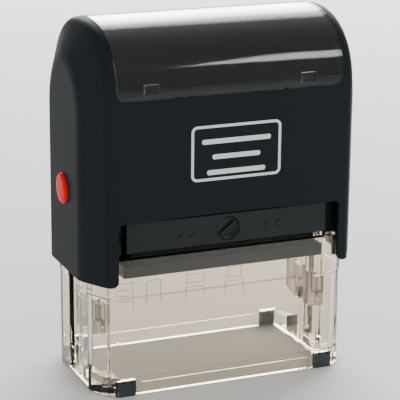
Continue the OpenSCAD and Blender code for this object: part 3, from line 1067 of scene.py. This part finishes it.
    def build(self) -> None:
        """Builds the base and dresses the nodes that stay as they are."""
        self.frame()
        self.signs()
        for end in ("front", "rear"):
            for side in ("left", "right"):
                dress(f"foot_{end}_{side}", FOOT_RUBBER, 0.2)
                dress(f"flip_guide_{end}_{side}", FROSTED_STYRENE, 0.2)
        for side in ("left", "right"):
            dress(f"cartridge_rail_{side}", SATIN_ABS, 0.2)
        dress("spring_bridge", SATIN_ABS, 0.25)


# --- ink cartridge ---------------------------------------------------------------------


@dataclass
class Cartridge:
    """The ink cartridge: a black tray with a thumb dish in its end plate, and the felt in it."""

    half_x: float = 27.0
    felt_x: float = 25.7
    felt_y: float = 16.1
    felt_t: float = 5.0
    flange_y: float = 14.5
    flange_z: Point2 = (40.3, 41.8)
    dish_z: float = 41.1
    dish_r: float = 3.2
    dish_depth: float = 0.95
    arrow_x: float = 9.0
    arrow_pitch: float = 3.2
    arrow_depth: float = 0.22

    def tray(self) -> None:
        """Builds the tray."""
        low, high = box_mm("ink_tray")
        x, y = self.half_x, high.y
        tray = block((-x, -y, low.z), (x, y, high.z))
        tray.cut(block(
            (-self.felt_x, -self.felt_y, low.z - 1), (self.felt_x, self.felt_y, low.z + self.felt_t)))
        for s in (-1, 1):
            a, b = sorted((s * 26.0, s * high.x))
            tray.add(block((a, -self.flange_y, self.flange_z[0]), (b, self.flange_y, self.flange_z[1])))
        dish = [(0, self.dish_depth)]
        for k in range(1, 9):
            turn = math.pi / 2 * k / 8
            dish.append((self.dish_r * math.sin(turn), self.dish_depth - (1 - math.cos(turn))))
        dish += [(self.dish_r, -1.0), (0, -1.0)]
        tray.cut(turned(dish, (0, -y, self.dish_z), Axis.Y, 48))
        # Ridge across the dish
        ridge = prism([(-2.3, -0.25), (2.3, -0.25), (2.3, 0.25), (-2.3, 0.25)], -y + 0.2, -y + 1.3, Axis.Y)
        ridge.object.data.transform(
            Matrix.Translation((0, 0, self.dish_z * MM)) @ Matrix.Rotation(math.radians(-38), 4, "Y"))
        tray.add(ridge)
        # Arrowheads that point at the dish take the place of words
        for s in (-1, 1):
            for k in range(2):
                tip = s * (self.arrow_x + self.arrow_pitch * k)
                head = ((0, 0), (1.3, 1.1), (2.0, 1.1), (0.7, 0), (2.0, -1.1), (1.3, -1.1))
                mark = [(tip + s * dx, self.dish_z + dz) for dx, dz in head]
                tray.cut(prism(mark, -y - 0.5, -y + self.arrow_depth, Axis.Y))
        tray.ease(0.25, 2, 32)
        publish(tray, "ink_tray_moulded", SATIN_ABS, "base", ("ink_tray",))

    def build(self) -> None:
        """Builds the tray and dresses the felt."""
        self.tray()
        dress("ink_felt", INK_FELT, 0.3)


# --- die -------------------------------------------------------------------------------


@dataclass
class Die:
    """The flipping die: carrier, axle pins, cushion and rubber."""

    def build(self) -> None:
        """Dresses the die's nodes."""
        # The carrier is black ABS; its lighter slate colour is a painted reflection of the clear wall in
        # front of it.
        dress("die_carrier", CARRIER_ABS_PAINTED_REFLECTION, 0.3)
        dress("die_cushion", CUSHION_FOAM, 0.15)
        dress("rubber_die", DIE_RUBBER, 0.12)
        for side in ("left", "right"):
            dress(f"axle_pin_{side}", GROUND_STEEL, 0.2)


# --- return spring ---------------------------------------------------------------------


@dataclass
class ReturnSpring:
    """The compression spring between the bridge and the top of the cap."""

    turns: int = 8
    steps: int = 28
    sides: int = 10
    wire: float = 1.1
    even_share: float = 0.35

    def build(self) -> None:
        """Sweeps the wire along its helix."""
        low, high = box_mm("return_spring")
        mean = high.x - self.wire / 2
        count = self.turns * self.steps
        rings = []
        for i in range(count + 1):
            u = i / count
            eased = self.even_share * u + (1 - self.even_share) * (0.5 - 0.5 * math.cos(math.pi * u))
            z = low.z + self.wire / 2 + (high.z - low.z - self.wire) * eased
            turn = math.tau * i / self.steps
            ring = []
            for k in range(self.sides):
                a = math.tau * k / self.sides
                r = mean + self.wire / 2 * math.cos(a)
                ring.append((r * math.cos(turn), r * math.sin(turn), z + self.wire / 2 * math.sin(a)))
            rings.append(ring)
        spring = publish(
            loft(rings), "return_spring_wire", DRAWN_STEEL, "base", ("return_spring",), 50)
        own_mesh(spring)


# --- studio ----------------------------------------------------------------------------


@dataclass
class Studio:
    """Pale floor, soft lights and the camera."""

    azimuth: float = -22.8
    elevation: float = 16.46
    roll: float = 0.52
    distance: float = 0.4544
    target: Point3 = (-0.0003, 0.0, 0.04355)
    lens_mm: float = 158.6
    sky: float = 0.6

    def camera(self) -> None:
        """Places the camera."""
        a, e = math.radians(self.azimuth), math.radians(self.elevation)
        back = Vector((math.sin(a) * math.cos(e), -math.cos(a) * math.cos(e), math.sin(e)))
        data = bpy.data.cameras.new("camera")
        data.lens, data.clip_start, data.clip_end = self.lens_mm, 0.01, 50
        camera = bpy.data.objects.new("camera", data)
        camera.location = Vector(self.target) + back * self.distance
        turn = (-back).to_track_quat("-Z", "Y").to_matrix() @ Matrix.Rotation(math.radians(self.roll), 3, "Z")
        camera.rotation_euler = turn.to_euler()
        bpy.context.scene.collection.objects.link(camera)
        bpy.context.scene.camera = camera

    def light(self, name: str, place: Point3, size: Point2, power: float, spin_deg: float = 0.0) -> None:
        """Adds one soft area light that faces the stamp.

        Args:
            name: Its name.
            place: Where it hangs, in metres.
            size: Its width and height, in metres.
            power: Its power in watts.
            spin_deg: How far it is turned in its own plane.
        """
        data = bpy.data.lights.new(name, "AREA")
        data.shape, data.size, data.size_y, data.energy = "RECTANGLE", *size, power
        lamp = bpy.data.objects.new(name, data)
        lamp.location = place
        facing = (Vector(place) - Vector(self.target)).to_track_quat("Z", "Y").to_matrix()
        lamp.rotation_euler = (facing @ Matrix.Rotation(math.radians(spin_deg), 3, "Z")).to_euler()
        bpy.context.scene.collection.objects.link(lamp)

    def floor(self) -> None:
        """Lays a pale floor."""
        reach, thick = 3000, 2
        floor = block((-reach, -reach, -thick), (reach, reach, 0)).object
        floor.name = "floor"
        paper = Finish("paper_white_matte", "#FAFAFA", "#F7F7F7", 0.8, grain_mm=2.0, grain_depth_mm=0.0)
        floor.data.materials.append(paper.make())

    def build(self) -> None:
        """Sets up the studio."""
        self.camera()
        self.floor()
        world = bpy.data.worlds.new("studio")
        world.use_nodes = True
        world.node_tree.nodes["Background"].inputs["Color"].default_value = (1, 1, 1, 1)
        world.node_tree.nodes["Background"].inputs["Strength"].default_value = self.sky
        bpy.context.scene.world = world
        self.light("rear_soft", (0.6, 1.0, 0.5), (1.6, 0.6), 34.0)
        self.light("rear_high", (0.6, 0.9, 0.98), (1.6, 0.25), 5.0)
        # A diamond whose corner draws a wedge of light on the right of the window
        self.light("right_soft", (0.42, -0.645, 0.56), (0.17, 0.17), 1.1, 45)


def main() -> None:
    """Builds every sub-assembly in order."""
    Studio().build()
    Cap().build()
    for side in (-1, 1):
        LockButton(side).build()
    Base().build()
    Cartridge().build()
    Die().build()
    ReturnSpring().build()


if __name__ == "__main__":
    main()
